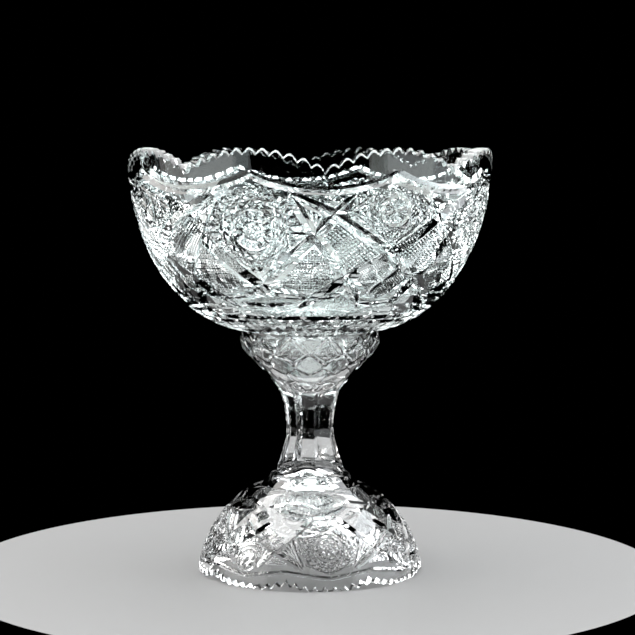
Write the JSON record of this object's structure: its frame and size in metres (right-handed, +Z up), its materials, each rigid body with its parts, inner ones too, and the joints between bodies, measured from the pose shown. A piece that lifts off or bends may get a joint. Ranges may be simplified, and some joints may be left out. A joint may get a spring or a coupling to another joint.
{
  "type": "punch bowl",
  "caption": "Deep cut crystal bowl with a lobed, toothed rim, resting on a separate stand with an open cup, a fluted stem and a hollow domed foot.",
  "frame": {"origin": "on the table, on the common axis of the bowl and its stand, at the height of the foot's lowest tooth tips", "axes": "+Z up along the axis of the bowl, -Y towards the front, +X to the right seen from the front"},
  "size_m": [0.3038, 0.3038, 0.3555],
  "materials": {
    "bowl_crystal": "clear lead crystal, deep cut and polished",
    "stand_crystal": "clear lead crystal, deep cut and polished, with ground tips where it stands"
  },
  "bodies": {
    "stand": {"stand_cup": "stand_crystal", "stand_stem": "stand_crystal", "stand_foot": "stand_crystal"},
    "bowl": {"bowl": "bowl_crystal"}
  },
  "joints": [
    {"name": "bowl_lift", "type": "slide", "parent": "stand", "child": "bowl", "axis": [0, 0, 1], "range_m": [0, 0.16]}
  ]
}
